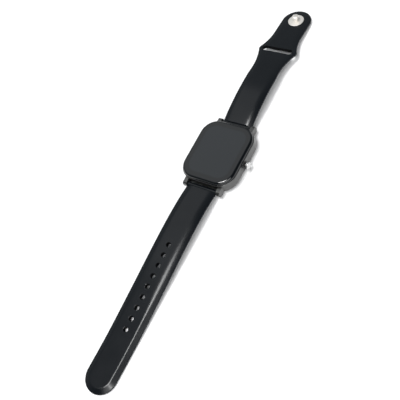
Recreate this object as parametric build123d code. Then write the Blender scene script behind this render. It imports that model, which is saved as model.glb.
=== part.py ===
from build123d import *
import math
import os

# Square smartwatch with a two-piece pin-and-tuck silicone strap, laid out flat, screen up.
# Millimetres. +X is the crown side, +Y the short strap, -Y the long strap, +Z out of the screen.
# The origin is the centre of the flat sensor window on the back, which touches the wrist.

# ---------------------------------------------------------------- driving dimensions
CASE_W, CASE_L, CASE_R = 36.2, 42.0, 10.5      # case outline and its corner radius
FRAME_Z0, FRAME_Z1 = 1.7, 8.2                  # metal frame, bottom and top
GLASS_Z0, GLASS_Z1 = 7.9, 10.1                 # cover glass
WALL = 1.8                                     # frame wall
COVER_Z0 = 0.8                                 # outside of the rear cover
STRAP_W = 20.0                                 # strap width at the lugs
STRAP_T, TAIL_T = 3.1, 2.6                     # strap thickness at the lugs and at the ends
BAR_Y, BAR_Z = 22.95, 4.2                      # spring bar axis, from the case centre
LUG_GAP, LUG_T, LUG_END = 20.5, 2.5, 24.5      # between the lugs, lug thickness, lug end
HOLE_Y, HOLE_PITCH, HOLE_N, HOLE_R = -62.8, -6.5, 9, 1.5
LONG_TIP, SHORT_TIP = -152.0, 118.2            # strap ends
STUD_Y, STUD_R = 108.4, 5.1                    # stud centre and disc radius
SLOT_Y, SLOT_W, SLOT_L = 81.4, 3.8, 21.0       # slot that the tail tucks through
CROWN_Y, CROWN_Z = -1.0, 5.0                   # crown axis
KNOB_R, KNOB_X0, KNOB_X1 = 2.4, 19.5, 20.8     # crown knob
CROWN_TRAVEL = 0.4                             # how far the crown presses in

os.makedirs("parts", exist_ok=True)
UP, ALONG_X = (0, 0, 1), (1, 0, 0)


# ---------------------------------------------------------------- helpers
def plate(width, length, radius, z0, z1, x=0, y=0):
    """Rounded rectangle plate between two heights."""
    outline = RectangleRounded(width, length, radius)
    return Pos(x, y, z0) * extrude(outline, z1 - z0)


def disc(radius, z0, z1, x=0, y=0):
    """Upright cylinder between two heights."""
    return Pos(x, y, (z0 + z1) / 2) * Cylinder(radius, z1 - z0)


def rod(radius, x0, x1, y, z):
    """Cylinder along X between two stations."""
    return Pos((x0 + x1) / 2, y, z) * Rot(0, 90, 0) * Cylinder(radius, abs(x1 - x0))


def block(x0, x1, y0, y1, z0, z1):
    """Box given by its two corners."""
    return Pos((x0 + x1) / 2, (y0 + y1) / 2, (z0 + z1) / 2) * Box(x1 - x0, y1 - y0, z1 - z0)


def outer_edges(solid, z, z_tolerance=0.01):
    """Edges that lie in a level plane."""
    return solid.edges().filter_by(lambda edge: abs(edge.center().Z - z) < z_tolerance
                                   and edge.bounding_box().size.Z < z_tolerance)


def save(name, *solids):
    """One node: a single solid, or several separate ones."""
    shape = solids[0] if len(solids) == 1 else Compound(children=list(solids))
    export_step(shape, f"parts/{name}.step")


# ---------------------------------------------------------------- case
BOSS_X, BOSS_Y, BOSS_R = 12.4, 15.4, 1.7
BOSS_Z0, BOSS_Z1 = 2.9, 4.6                    # frame's bosses; the rear cover's end just below
LUG_Z, LUG_H, LUG_ROUND = 4.35, 4.5, 1.6       # lug middle, height and end rounding
RIM_Z1 = 2.8                                   # top of the rear cover's locating rim
GROOVE_Z0, GROOVE_Z1 = 1.95, 2.55              # gasket groove
HEAD_R, HEAD_H, SHANK_R = 1.15, 0.5, 0.5       # case screws
INNER_W, INNER_L, INNER_R = CASE_W - 2 * WALL, CASE_L - 2 * WALL, CASE_R - WALL
GLASS_W, GLASS_L, GLASS_R = CASE_W - 0.7, CASE_L - 0.7, CASE_R - 0.35
LEDGE_Z = GLASS_Z0 - 0.2
COLLAR_R = 2.5
TUBE_R = 1.5


def screw_places():
    return [(sx * BOSS_X, sy * BOSS_Y) for sx in (-1, 1) for sy in (-1, 1)]


def case_frame():
    """Machined metal ring with four lugs, the glass ledge and four screw bosses."""
    ring = plate(CASE_W, CASE_L, CASE_R, FRAME_Z0, FRAME_Z1)
    ring = fillet(outer_edges(ring, FRAME_Z0), 0.9)
    ring = chamfer(outer_edges(ring, FRAME_Z1), 0.12)
    lugs = []
    for side_x in (-1, 1):
        for side_y in (-1, 1):
            x_mid = side_x * (LUG_GAP / 2 + LUG_T / 2)
            lug = Pos(x_mid, side_y * (LUG_END + 15) / 2, LUG_Z) * Box(LUG_T, LUG_END - 15, LUG_H)
            end = lug.edges().filter_by(Axis.X).group_by(Axis.Y)[-1 if side_y > 0 else 0]
            lugs.append(fillet(end, LUG_ROUND))
    for lug in lugs:
        ring += lug
    ring -= plate(INNER_W, INNER_L, INNER_R, FRAME_Z0 - 1, FRAME_Z1 + 1)
    ring -= plate(GLASS_W + 0.1, GLASS_L + 0.1, GLASS_R + 0.05, LEDGE_Z, FRAME_Z1 + 1)
    for x, y in screw_places():
        boss = disc(BOSS_R, BOSS_Z0, BOSS_Z1, x, y)
        web = block(*sorted((x, x * 1.18)), *sorted((y, y * 1.14)), BOSS_Z0, BOSS_Z1)
        ring += (boss + web) - disc(SHANK_R + 0.05, BOSS_Z0 - 0.1, BOSS_Z1 - 0.4, x, y)
    for side_y in (-1, 1):
        ring -= rod(0.5, -LUG_GAP / 2 - 1.1, LUG_GAP / 2 + 1.1, side_y * BAR_Y, BAR_Z)
    ring -= rod(TUBE_R, CASE_W / 2 - 4, CASE_W / 2 + 1, CROWN_Y, CROWN_Z)
    ring -= rod(COLLAR_R, CASE_W / 2 - 0.7, CASE_W / 2 + 1, CROWN_Y, CROWN_Z)
    return ring


def rear_cover():
    """Moulded back with a locating rim, window hole, charging pin holes and screw seats."""
    body = plate(CASE_W - 1.4, CASE_L - 1.4, CASE_R - 0.7, COVER_Z0, FRAME_Z0)
    body = fillet(outer_edges(body, COVER_Z0), 0.6)
    rim = plate(INNER_W - 0.1, INNER_L - 0.1, INNER_R - 0.05, FRAME_Z0, RIM_Z1)
    rim -= plate(INNER_W - 2.1, INNER_L - 2.1, INNER_R - 1.05, FRAME_Z0 - 1, 3)
    body += rim
    for x, y in screw_places():
        body += disc(BOSS_R, FRAME_Z0, BOSS_Z0 - 0.05, x, y)
    groove = plate(INNER_W + 1, INNER_L + 1, INNER_R + 0.5, GROOVE_Z0, GROOVE_Z1)
    groove -= plate(INNER_W - 0.9, INNER_L - 0.9, INNER_R - 0.45, 1.9, 2.6)
    body -= groove
    for x, y in screw_places():
        body -= disc(0.75, COVER_Z0 - 1, 3, x, y)
        body -= disc(HEAD_R + 0.1, COVER_Z0 - 1, COVER_Z0 + HEAD_H + 0.05, x, y)
    body -= disc(WINDOW_R + 0.05, 0, 2)
    for x in CONTACT_X:
        body -= disc(0.85, 0, 3, x, CONTACT_Y)
    return body


def rear_gasket():
    """Rubber ring in the rear cover's groove."""
    ring = plate(INNER_W - 0.02, INNER_L - 0.02, INNER_R - 0.01, GROOVE_Z0 + 0.02, GROOVE_Z1 - 0.02)
    ring -= plate(INNER_W - 0.8, INNER_L - 0.8, INNER_R - 0.4, 1.9, 2.6)
    return ring


def rear_screws():
    screws = []
    for x, y in screw_places():
        head = disc(HEAD_R, COVER_Z0 + 0.05, COVER_Z0 + HEAD_H + 0.05, x, y)
        head -= disc(0.45, COVER_Z0, COVER_Z0 + 0.3, x, y)
        screws.append(head + disc(SHANK_R, COVER_Z0 + HEAD_H, BOSS_Z1 - 0.5, x, y))
    return screws


# ---------------------------------------------------------------- sensor and charging
WINDOW_R, WINDOW_Z1 = 9.6, 2.1                 # window cup and the top of its flange
SENSOR_Z0 = 2.15                               # under side of the sensor board
CONTACT_X, CONTACT_Y = (-2.0, 2.0), -14.0


def sensor_window():
    """Clear cup that touches the skin, with a flange inside the rear cover."""
    cup = disc(WINDOW_R, 0, WINDOW_Z1) + disc(WINDOW_R + 0.8, FRAME_Z0, WINDOW_Z1)
    cup = chamfer(outer_edges(cup, 0), 0.45)
    return cup - disc(WINDOW_R - 1.0, 0.8, 3)


def sensor_board():
    board = disc(WINDOW_R + 0.6, SENSOR_Z0, SENSOR_Z0 + 0.5)
    return board - block(-11, 11, 9.0, 11, 2, 3)


def sensor_leds():
    """Two green emitters and one infrared one, facing the skin."""
    places = ((0, 3.6), (0, -3.6), (5.2, 0))
    return [block(x - 0.6, x + 0.6, y - 0.6, y + 0.6, 1.5, SENSOR_Z0) for x, y in places]


def sensor_photodiode():
    return block(-1.5, 1.5, -1.5, 1.5, 1.55, SENSOR_Z0)


def sensor_shield():
    """Black wall that keeps the emitters' light off the detector."""
    return disc(2.7, 0.85, SENSOR_Z0) - disc(2.3, 0.8, SENSOR_Z0 + 0.1)


def charging_pins():
    pins = []
    for x in CONTACT_X:
        pin = disc(0.8, COVER_Z0 - 0.05, WINDOW_Z1, x, CONTACT_Y)
        pins.append(pin + disc(1.1, FRAME_Z0, WINDOW_Z1, x, CONTACT_Y))
    return pins


def charging_magnets():
    return [disc(1.9, FRAME_Z0 + 0.02, RIM_Z1 - 0.1, x, CONTACT_Y) for x in (-7.0, 7.0)]


# ---------------------------------------------------------------- inside
BOARD_Z0, BOARD_Z1 = 5.75, 6.25
BRACKET_Z0, BRACKET_Z1 = 4.75, 6.75
TRAY_Z0, PANEL_Z0 = 6.8, 7.15
BATTERY_Z0, BATTERY_Z1, BATTERY_Y = 3.0, 5.55, 9.4


def inner_bracket():
    """Moulded tray that holds the board and display, open over the battery and crown."""
    ring = plate(INNER_W - 0.2, INNER_L - 0.2, INNER_R - 0.1, BRACKET_Z0, BRACKET_Z1)
    ring -= plate(INNER_W - 1.8, INNER_L - 1.8, INNER_R - 0.9, BRACKET_Z0 - 1, BRACKET_Z1 - 0.4)
    ring -= plate(24, 28, 4, BRACKET_Z0, BRACKET_Z1 + 1)
    crown_gap = block(INNER_W / 2 - 3, INNER_W / 2 + 1, -2.4, 2.4, BRACKET_Z0 - 1, BRACKET_Z1 + 1)
    ring -= Pos(0, CROWN_Y, 0) * crown_gap
    return ring


def main_board():
    board = plate(INNER_W - 2.2, INNER_L - 2.2, INNER_R - 1.1, BOARD_Z0, BOARD_Z1)
    return board - block(13.2, 16, CROWN_Y - 2.2, CROWN_Y + 2.2, 5, 7)


def chip(x, y, size_x, size_y, height):
    """Package hanging under the main board."""
    body = block(x - size_x / 2, x + size_x / 2, y - size_y / 2, y + size_y / 2, BOARD_Z0 - height, BOARD_Z0)
    return chamfer(outer_edges(body, BOARD_Z0 - height), 0.1)


def shield_can():
    """Pressed lid over the radio parts, on top of the board's under side."""
    can = block(-10.4, -2.4, -14.9, -7.4, BOARD_Z0 - 1.1, BOARD_Z0)
    return can - block(-10.2, -2.6, -14.7, -7.6, BOARD_Z0 - 0.9, BOARD_Z0 + 0.1)


def battery():
    cell = plate(21, 15.2, 1.2, BATTERY_Z0, BATTERY_Z1, 0, BATTERY_Y)
    return fillet(outer_edges(cell, BATTERY_Z0) + outer_edges(cell, BATTERY_Z1), 0.4)


def battery_pad():
    return plate(18, 10, 1, BATTERY_Z1, BOARD_Z0, 0, BATTERY_Y)


def display_panel():
    return plate(29.4, 35.0, 7.0, PANEL_Z0, GLASS_Z0)


def display_tray():
    """Thin pressed tray behind the panel."""
    tray = plate(30.4, 36.0, 7.5, TRAY_Z0, LEDGE_Z)
    return tray - plate(29.8, 35.4, 7.2, PANEL_Z0 - 0.05, GLASS_Z0)


def display_flex():
    """Flat cable from the panel down to the main board."""
    return block(-3, 3, 13.6, 13.8, BOARD_Z1, TRAY_Z0) + block(-3, 3, 10.0, 13.8, BOARD_Z1, BOARD_Z1 + 0.15)


def glass_adhesive():
    ring = plate(GLASS_W - 0.4, GLASS_L - 0.4, GLASS_R - 0.2, LEDGE_Z, GLASS_Z0)
    return ring - plate(INNER_W + 0.4, INNER_L + 0.4, INNER_R + 0.2, LEDGE_Z - 1, GLASS_Z0 + 1)


def cover_glass():
    """Black-edged glass that curves down all round to the frame's rim."""
    glass = plate(GLASS_W, GLASS_L, GLASS_R, GLASS_Z0, GLASS_Z1)
    glass = chamfer(outer_edges(glass, GLASS_Z1), 1.0, 2.2)
    return fillet(outer_edges(glass, GLASS_Z1 - 1.0), 0.8)


MOTOR_X, MOTOR_Y, MOTOR_R = -9.5, -3.0, 4.0
MOTOR_Z0, MOTOR_Z1 = 3.0, 5.2


def motor_can():
    """Coin vibration motor's cup with its fixed centre pin."""
    cup = disc(MOTOR_R, MOTOR_Z0, MOTOR_Z1, MOTOR_X, MOTOR_Y)
    cup -= disc(MOTOR_R - 0.25, MOTOR_Z0 + 0.2, MOTOR_Z1 + 1, MOTOR_X, MOTOR_Y)
    return cup + disc(0.35, MOTOR_Z0 + 0.1, MOTOR_Z1, MOTOR_X, MOTOR_Y)


def motor_lid():
    return disc(MOTOR_R, MOTOR_Z1, MOTOR_Z1 + 0.2, MOTOR_X, MOTOR_Y)


def motor_rotor():
    """Half-disc weight on a bearing ring that turns about the pin."""
    weight = disc(3.5, MOTOR_Z0 + 0.7, MOTOR_Z1 - 0.3, MOTOR_X, MOTOR_Y)
    weight -= block(MOTOR_X - 4, MOTOR_X + 4, MOTOR_Y, MOTOR_Y + 4, MOTOR_Z0, MOTOR_Z1)
    bearing = disc(1.1, MOTOR_Z0 + 0.5, MOTOR_Z1 - 0.2, MOTOR_X, MOTOR_Y)
    return weight + bearing - disc(0.4, MOTOR_Z0, MOTOR_Z1, MOTOR_X, MOTOR_Y)


# ---------------------------------------------------------------- crown
STEM_R = 0.85
CLIP_X = 15.0
SEAL_X0, SEAL_X1 = 16.4, 16.95                 # groove for the seal


def crown_collar():
    """Black ring set in the frame wall around the stem."""
    return rod(COLLAR_R - 0.04, CASE_W / 2 - 0.7, CASE_W / 2 + 0.15, CROWN_Y, CROWN_Z) \
        - rod(STEM_R + 0.25, 10, 22, CROWN_Y, CROWN_Z)


def crown_tube():
    """Pressed-in brass guide for the stem."""
    tube = rod(TUBE_R - 0.02, CLIP_X + 0.75, CASE_W / 2 - 0.7, CROWN_Y, CROWN_Z)
    tube -= rod(STEM_R + 0.05, 10, 22, CROWN_Y, CROWN_Z)
    return tube - rod(STEM_R + 0.35, SEAL_X0 - CROWN_TRAVEL - 0.05, SEAL_X1 + 0.15, CROWN_Y, CROWN_Z)


def crown_stem():
    """Turned stem with a groove for the seal and one for the retaining clip."""
    stem = rod(STEM_R, 13.6, KNOB_X0 + 0.6, CROWN_Y, CROWN_Z)
    for x0, x1 in ((SEAL_X0, SEAL_X1), (CLIP_X, CLIP_X + 0.3)):
        stem -= rod(STEM_R + 0.2, x0, x1, CROWN_Y, CROWN_Z) - rod(0.6, x0, x1, CROWN_Y, CROWN_Z)
    return stem


def crown_knob():
    """Flat round knob with a chamfered outer edge, pressed on the stem."""
    knob = rod(KNOB_R, KNOB_X0, KNOB_X1, CROWN_Y, CROWN_Z)
    knob = chamfer(knob.edges().group_by(Axis.X)[-1], 0.2)
    return knob - rod(STEM_R, KNOB_X0 - 1, KNOB_X0 + 0.6, CROWN_Y, CROWN_Z)


def crown_seal():
    """Rubber ring in the stem's groove, inside the tube's wider bore."""
    return rod(1.12, SEAL_X0 + 0.02, SEAL_X1 - 0.02, CROWN_Y, CROWN_Z) \
        - rod(0.61, SEAL_X0, SEAL_X1, CROWN_Y, CROWN_Z)


def crown_clip():
    """Open retaining clip behind the tube."""
    ring = rod(1.4, CLIP_X + 0.02, CLIP_X + 0.28, CROWN_Y, CROWN_Z)
    ring -= rod(0.62, 14, 17, CROWN_Y, CROWN_Z)
    return ring - block(14, 17, CROWN_Y - 0.45, CROWN_Y + 0.45, CROWN_Z, CROWN_Z + 2)


def crown_pusher():
    """Spring leaf pad between the stem's end and the switch; it slides but doesn't turn."""
    return block(13.25, 13.57, CROWN_Y - 1.3, CROWN_Y + 1.3, CROWN_Z - 1.0, CROWN_Z + 0.65)


def switch_body():
    body = block(10.4, 12.6, CROWN_Y - 2.2, CROWN_Y + 2.2, CROWN_Z - 1.4, BOARD_Z0)
    return body - rod(0.85, 11.6, 13, CROWN_Y, CROWN_Z - 0.2)


def switch_plunger():
    return rod(0.8, 12.05, 13.24, CROWN_Y, CROWN_Z - 0.2)


# ---------------------------------------------------------------- spring bars
BARREL_HALF = 8.6
PIN_R, SHOULDER_R = 0.4, 0.52


def bar_barrel(side):
    """Thin tube, its ends rolled in behind the pins' shoulders."""
    y = side * BAR_Y
    tube = rod(0.8, -BARREL_HALF, BARREL_HALF, y, BAR_Z)
    tube -= rod(0.56, -BARREL_HALF + 0.3, BARREL_HALF - 0.3, y, BAR_Z)
    return tube - rod(PIN_R + 0.04, -BARREL_HALF - 1, BARREL_HALF + 1, y, BAR_Z)


def bar_pin(side, end):
    """Flanged pin whose tip stands in the lug's hole."""
    y = side * BAR_Y
    tip = rod(PIN_R, end * (BARREL_HALF - 2.0), end * (LUG_GAP / 2 + 0.9), y, BAR_Z)
    tip += rod(SHOULDER_R, end * (BARREL_HALF - 1.9), end * (BARREL_HALF - 0.32), y, BAR_Z)
    return tip


def bar_spring(side):
    """Coil spring between the two pins, as the sleeve that its turns fill."""
    sleeve = rod(0.5, -BARREL_HALF + 2.2, BARREL_HALF - 2.2, side * BAR_Y, BAR_Z)
    return sleeve - rod(0.3, -BARREL_HALF, BARREL_HALF, side * BAR_Y, BAR_Z)


# ---------------------------------------------------------------- straps
KNUCKLE_R = 1.4                                # rolled end around the spring bar
BORE_R = 0.86
STRAP_Y0 = 23.5                                # where the strap's full thickness starts
SLOPE_Y = 88.0                                 # the short strap runs straight from here
SLOPE_RISE = 3.1                               # its height there
STRAP_START = 2.9                              # underside height at the lugs


LONG_CREST = (-50.0, 8.0)                      # control points of the long strap's underside
LONG_LANDING = (-95.0, 0.0)
LONG_FLAT_Y = -132.0                           # it lies flat from here
SHORT_CREST = (46.0, 8.6)
SHORT_LANDING_Y = 66.0


def long_side():
    """Side view of the long strap: it arches up from the lugs and lies flat at the tail."""
    crest_y, crest_z = LONG_CREST
    land_y, land_z = LONG_LANDING
    under = Bezier((0, -STRAP_Y0, STRAP_START), (0, crest_y, crest_z), (0, land_y, land_z),
                   (0, LONG_FLAT_Y, 0))
    over = Bezier((0, -STRAP_Y0, STRAP_START + STRAP_T), (0, crest_y, crest_z + STRAP_T),
                  (0, land_y, land_z + TAIL_T), (0, LONG_FLAT_Y, TAIL_T))
    return under, Line((0, LONG_FLAT_Y, 0), (0, LONG_TIP, 0)), \
        Line((0, LONG_TIP, 0), (0, LONG_TIP, TAIL_T)), \
        Line((0, LONG_TIP, TAIL_T), (0, LONG_FLAT_Y, TAIL_T)), over, \
        Line((0, -STRAP_Y0, STRAP_START + STRAP_T), (0, -STRAP_Y0, STRAP_START))


def short_side():
    """Side view of the short strap: it arches up, then slopes down to rest on its tip."""
    slope = SLOPE_RISE / (SHORT_TIP - SLOPE_Y)
    rise = math.hypot(1, slope) * TAIL_T
    crest_y, crest_z = SHORT_CREST
    height = SLOPE_RISE + slope * (SLOPE_Y - SHORT_LANDING_Y)
    under = Bezier((0, STRAP_Y0, STRAP_START), (0, crest_y, crest_z), (0, SHORT_LANDING_Y, height),
                   (0, SLOPE_Y, SLOPE_RISE))
    over = Bezier((0, STRAP_Y0, STRAP_START + STRAP_T), (0, crest_y, crest_z + STRAP_T),
                  (0, SHORT_LANDING_Y, height + rise), (0, SLOPE_Y, SLOPE_RISE + rise))
    return under, Line((0, SLOPE_Y, SLOPE_RISE), (0, SHORT_TIP, 0)), \
        Line((0, SHORT_TIP, 0), (0, SHORT_TIP, rise)), \
        Line((0, SHORT_TIP, rise), (0, SLOPE_Y, SLOPE_RISE + rise)), over, \
        Line((0, STRAP_Y0, STRAP_START + STRAP_T), (0, STRAP_Y0, STRAP_START))


def band(side_view, outline):
    """Strap body: its side view swept across, cut to its outline seen from above."""
    side = make_face(Wire(side_view))
    swept = extrude(side, 20, dir=ALONG_X, both=True)
    upright = extrude(make_face(Wire(outline)), 20, dir=UP)
    return swept & upright


def knuckle(side):
    """Rolled end that the spring bar passes through, and the web behind it."""
    roll = rod(KNUCKLE_R, -STRAP_W / 2, STRAP_W / 2, side * BAR_Y, BAR_Z)
    y0, y1 = sorted((side * (BAR_Y + 0.3), side * (STRAP_Y0 + 0.2)))
    return roll + block(-STRAP_W / 2, STRAP_W / 2, y0, y1, STRAP_START + 0.05, BAR_Z + 1.2)


def bar_bore(side):
    return rod(BORE_R, -STRAP_W, STRAP_W, side * BAR_Y, BAR_Z)


def long_strap():
    """Holed strap with a full round end."""
    half = STRAP_W / 2
    round_y = LONG_TIP + half
    outline = (Line((half, -STRAP_Y0, 0), (half, round_y, 0)),
               ThreePointArc((half, round_y, 0), (0, LONG_TIP, 0), (-half, round_y, 0)),
               Line((-half, round_y, 0), (-half, -STRAP_Y0, 0)),
               Line((-half, -STRAP_Y0, 0), (half, -STRAP_Y0, 0)))
    body = band(long_side(), outline) + knuckle(-1) - bar_bore(-1)
    for index in range(HOLE_N):
        body -= disc(HOLE_R, -1, 12, 0, HOLE_Y + index * HOLE_PITCH)
    return body


WAIST = 13.2                                   # half-width beside the slot
TIP_R = 9.8


def short_half(sign):
    """One edge of the short strap from the lugs to the start of its round end."""
    round_y = SHORT_TIP - TIP_R
    flare = [(STRAP_W / 2, STRAP_Y0), (9.9, 60.0)]
    swell = [(9.9, 60.0), (10.35, 72.0), (12.75, 79.9)]
    corner = [(12.75, 79.9), (WAIST, 81.6), (12.6, 83.4)]
    neck = [(12.6, 83.4), (10.3, 90.5), (TIP_R, 98.0)]
    straight = [(TIP_R, 98.0), (TIP_R, round_y)]
    pieces = []
    for points in (flare, swell, corner, neck, straight):
        places = [(sign * x, y, 0) for x, y in points]
        pieces.append(Line(*places) if len(places) == 2 else ThreePointArc(*places))
    return pieces


def stud_plane():
    """Frame on the strap's underside below the stud, tilted with the slope."""
    tilt = -math.degrees(math.atan2(SLOPE_RISE, SHORT_TIP - SLOPE_Y))
    height = SLOPE_RISE * (SHORT_TIP - STUD_Y) / (SHORT_TIP - SLOPE_Y)
    return Pos(0, STUD_Y, height) * Rot(tilt, 0, 0)


def short_strap():
    """Stud strap: a slot through its widened waist and a recess for the stud's disc."""
    round_y = SHORT_TIP - TIP_R
    outline = short_half(1) + [ThreePointArc((TIP_R, round_y, 0), (0, SHORT_TIP, 0), (-TIP_R, round_y, 0))]
    outline += short_half(-1) + [Line((-STRAP_W / 2, STRAP_Y0, 0), (STRAP_W / 2, STRAP_Y0, 0))]
    body = band(short_side(), outline) + knuckle(1) - bar_bore(1)
    slot = extrude(SlotOverall(SLOT_L, SLOT_W), 30)
    body -= Pos(0, SLOT_Y, -10) * slot
    cut = disc(STUD_R + 0.05, TAIL_T - 0.5, 9) + disc(1.25, -5, 9) + disc(3.05, -5, 0.45)
    return body - stud_plane() * cut


def stud():
    """Turned stud: flat disc, shank through the strap, neck and mushroom head."""
    turned = disc(STUD_R, TAIL_T - 0.5, TAIL_T + 0.15)
    turned = fillet(outer_edges(turned, TAIL_T + 0.15), 0.12)
    turned += disc(1.2, 0.45, TAIL_T) + disc(1.15, TAIL_T, 5.0)
    head = fillet(disc(2.15, 4.6, 6.3).edges(), 0.6)
    return stud_plane() * (turned + head)


def stud_rivet():
    """Flat cap on the wrist side that the stud's shank is pressed into."""
    return stud_plane() * disc(3.0, 0.0, 0.45)


# ---------------------------------------------------------------- write the nodes
save("case_frame", case_frame())
save("rear_cover", rear_cover())
save("rear_gasket", rear_gasket())
save("rear_screws", *rear_screws())
save("sensor_window", sensor_window())
save("sensor_board", sensor_board())
save("sensor_leds", *sensor_leds())
save("sensor_photodiode", sensor_photodiode())
save("sensor_shield", sensor_shield())
save("charging_pins", *charging_pins())
save("charging_magnets", *charging_magnets())
save("inner_bracket", inner_bracket())
save("main_board", main_board())
save("processor_chip", chip(3.0, -10.0, 6.0, 6.0, 0.8))
save("memory_chip", chip(10.0, -12.5, 4.5, 3.5, 0.7))
save("shield_can", shield_can())
save("battery", battery())
save("battery_pad", battery_pad())
save("display_panel", display_panel())
save("display_tray", display_tray())
save("display_flex", display_flex())
save("glass_adhesive", glass_adhesive())
save("cover_glass", cover_glass())
save("motor_can", motor_can())
save("motor_lid", motor_lid())
save("motor_rotor", motor_rotor())
save("crown_collar", crown_collar())
save("crown_tube", crown_tube())
save("crown_stem", crown_stem())
save("crown_knob", crown_knob())
save("crown_seal", crown_seal())
save("crown_clip", crown_clip())
save("crown_pusher", crown_pusher())
save("switch_body", switch_body())
save("switch_plunger", switch_plunger())
for side, name in ((-1, "long"), (1, "short")):
    save(f"{name}_bar_barrel", bar_barrel(side))
    save(f"{name}_bar_left_pin", bar_pin(side, -1))
    save(f"{name}_bar_right_pin", bar_pin(side, 1))
    save(f"{name}_bar_spring", bar_spring(side))
save("long_strap", long_strap())
save("short_strap", short_strap())
save("stud", stud())
save("stud_rivet", stud_rivet())
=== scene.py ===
import math

import bmesh
import bpy
from mathutils import Matrix, Vector


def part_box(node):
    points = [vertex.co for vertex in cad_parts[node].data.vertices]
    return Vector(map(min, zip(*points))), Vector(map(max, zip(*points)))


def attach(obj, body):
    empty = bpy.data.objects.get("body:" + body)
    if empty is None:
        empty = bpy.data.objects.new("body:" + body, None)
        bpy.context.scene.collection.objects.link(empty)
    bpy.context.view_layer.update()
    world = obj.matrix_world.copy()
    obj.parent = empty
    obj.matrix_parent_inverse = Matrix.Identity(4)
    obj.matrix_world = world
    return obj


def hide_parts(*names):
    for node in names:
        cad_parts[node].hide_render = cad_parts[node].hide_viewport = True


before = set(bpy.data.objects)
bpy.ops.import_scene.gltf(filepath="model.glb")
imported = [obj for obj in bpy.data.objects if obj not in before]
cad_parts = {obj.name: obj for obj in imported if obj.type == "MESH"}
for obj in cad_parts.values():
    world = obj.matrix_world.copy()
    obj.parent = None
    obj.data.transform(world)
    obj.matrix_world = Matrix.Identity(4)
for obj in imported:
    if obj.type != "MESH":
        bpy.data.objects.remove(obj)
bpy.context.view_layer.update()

mm = 0.001


# ---------------------------------------------------------------- camera
# The watch is seen from its crown side, a little from the long strap's end, from rather near. The
# camera is tipped, so that the strap runs from lower left to upper right.
AZIMUTH, ELEVATION, ROLL = math.radians(58.6), math.radians(54.91), math.radians(-34.59)
DISTANCE = 369.2 * mm
TARGET = Vector((2.8, -30.6, 4.92)) * mm
LENS = 57.34

away = Vector((math.sin(AZIMUTH) * math.cos(ELEVATION), -math.cos(AZIMUTH) * math.cos(ELEVATION),
               math.sin(ELEVATION)))
level = Vector((0, 0, 1)).cross(away).normalized()
upward = away.cross(level)
right = level * math.cos(ROLL) + upward * math.sin(ROLL)
top = upward * math.cos(ROLL) - level * math.sin(ROLL)
view = bpy.data.objects.new("camera", bpy.data.cameras.new("camera"))
bpy.context.scene.collection.objects.link(view)
view.data.lens = LENS
view.data.sensor_width = 36
view.data.clip_start = 0.01
view.matrix_world = Matrix.Translation(TARGET + away * DISTANCE) \
    @ Matrix((right, top, away)).transposed().to_4x4()
bpy.context.scene.camera = view


# ---------------------------------------------------------------- light
# A pale sweep behind the watch, a low pale wall all round it and a dark ceiling on the camera's side.
# Two broad soft lights, one overhead and one from the camera's side; a near softbox that the glass
# mirrors; and a small lamp for the sharp glints.
SWEEP, WALL, CEILING = 0.34, 0.6, 0.06         # brightness of each
SWEEP_SIDE = Vector((-0.853, 0.522, 0.0))

bpy.context.scene.view_settings.view_transform = "Standard"
room = bpy.data.worlds.new("white_sweep")
bpy.context.scene.world = room
room.use_nodes = True
room_nodes = room.node_tree.nodes
room_links = room.node_tree.links


def fade(value, low, high, start, end):
    """The world's brightness between two readings of a direction."""
    made = room_nodes.new("ShaderNodeMapRange")
    made.interpolation_type = "SMOOTHSTEP"
    made.inputs["From Min"].default_value = low
    made.inputs["From Max"].default_value = high
    made.inputs["To Min"].default_value = start
    made.inputs["To Max"].default_value = end
    room_links.new(value, made.inputs["Value"])
    return made


direction = room_nodes.new("ShaderNodeTexCoord")
toward_sweep = room_nodes.new("ShaderNodeVectorMath")
toward_sweep.operation = "DOT_PRODUCT"
toward_sweep.inputs[1].default_value = SWEEP_SIDE
room_links.new(direction.outputs["Generated"], toward_sweep.inputs[0])
height = room_nodes.new("ShaderNodeSeparateXYZ")
room_links.new(direction.outputs["Generated"], height.inputs["Vector"])
upper = fade(height.outputs["Z"], 0.08, 0.4, WALL, CEILING)
brightness = fade(toward_sweep.outputs["Value"], -0.1, 0.55, 0.0, SWEEP)
room_links.new(upper.outputs["Result"], brightness.inputs["To Min"])
room_links.new(brightness.outputs["Result"], room_nodes["Background"].inputs["Strength"])
room_nodes["Background"].inputs["Color"].default_value = (0.92, 0.97, 1.0, 1)


def lamp(name, toward_lamp, distance, width, length, power):
    """A soft lamp that faces the watch, wide across it and long along it."""
    light = bpy.data.lights.new(name, "AREA")
    light.shape = "RECTANGLE"
    light.size = width
    light.size_y = length
    light.energy = power
    made = bpy.data.objects.new(name, light)
    bpy.context.scene.collection.objects.link(made)
    back = Vector(toward_lamp).normalized()
    across = Vector((0, 1, 0)).cross(back).normalized()
    turned = Matrix((across, back.cross(across), back)).transposed().to_4x4()
    made.matrix_world = Matrix.Translation(back * distance) @ turned


def sky_light(name, toward_light, power, spread):
    """A broad light so far off that the whole table gets the same of it."""
    made = bpy.data.objects.new(name, bpy.data.lights.new(name, "SUN"))
    made.data.energy = power
    made.data.angle = math.radians(spread)
    made.rotation_euler = Vector(toward_light).to_track_quat("Z", "Y").to_euler()
    bpy.context.scene.collection.objects.link(made)


sky_light("overhead_light", toward_light=(-0.13, -0.11, 0.99), power=2.2, spread=20)
sky_light("front_fill", toward_light=(0.45, -0.45, 0.77), power=1.8, spread=56)
lamp("side_softbox", toward_lamp=(-0.53, 0.2, 0.83), distance=0.3, width=0.17, length=0.26, power=0.075)
lamp("glint_lamp", toward_lamp=(0.20, -0.39, 0.89), distance=0.9, width=0.05, length=0.05, power=0.7)


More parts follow.
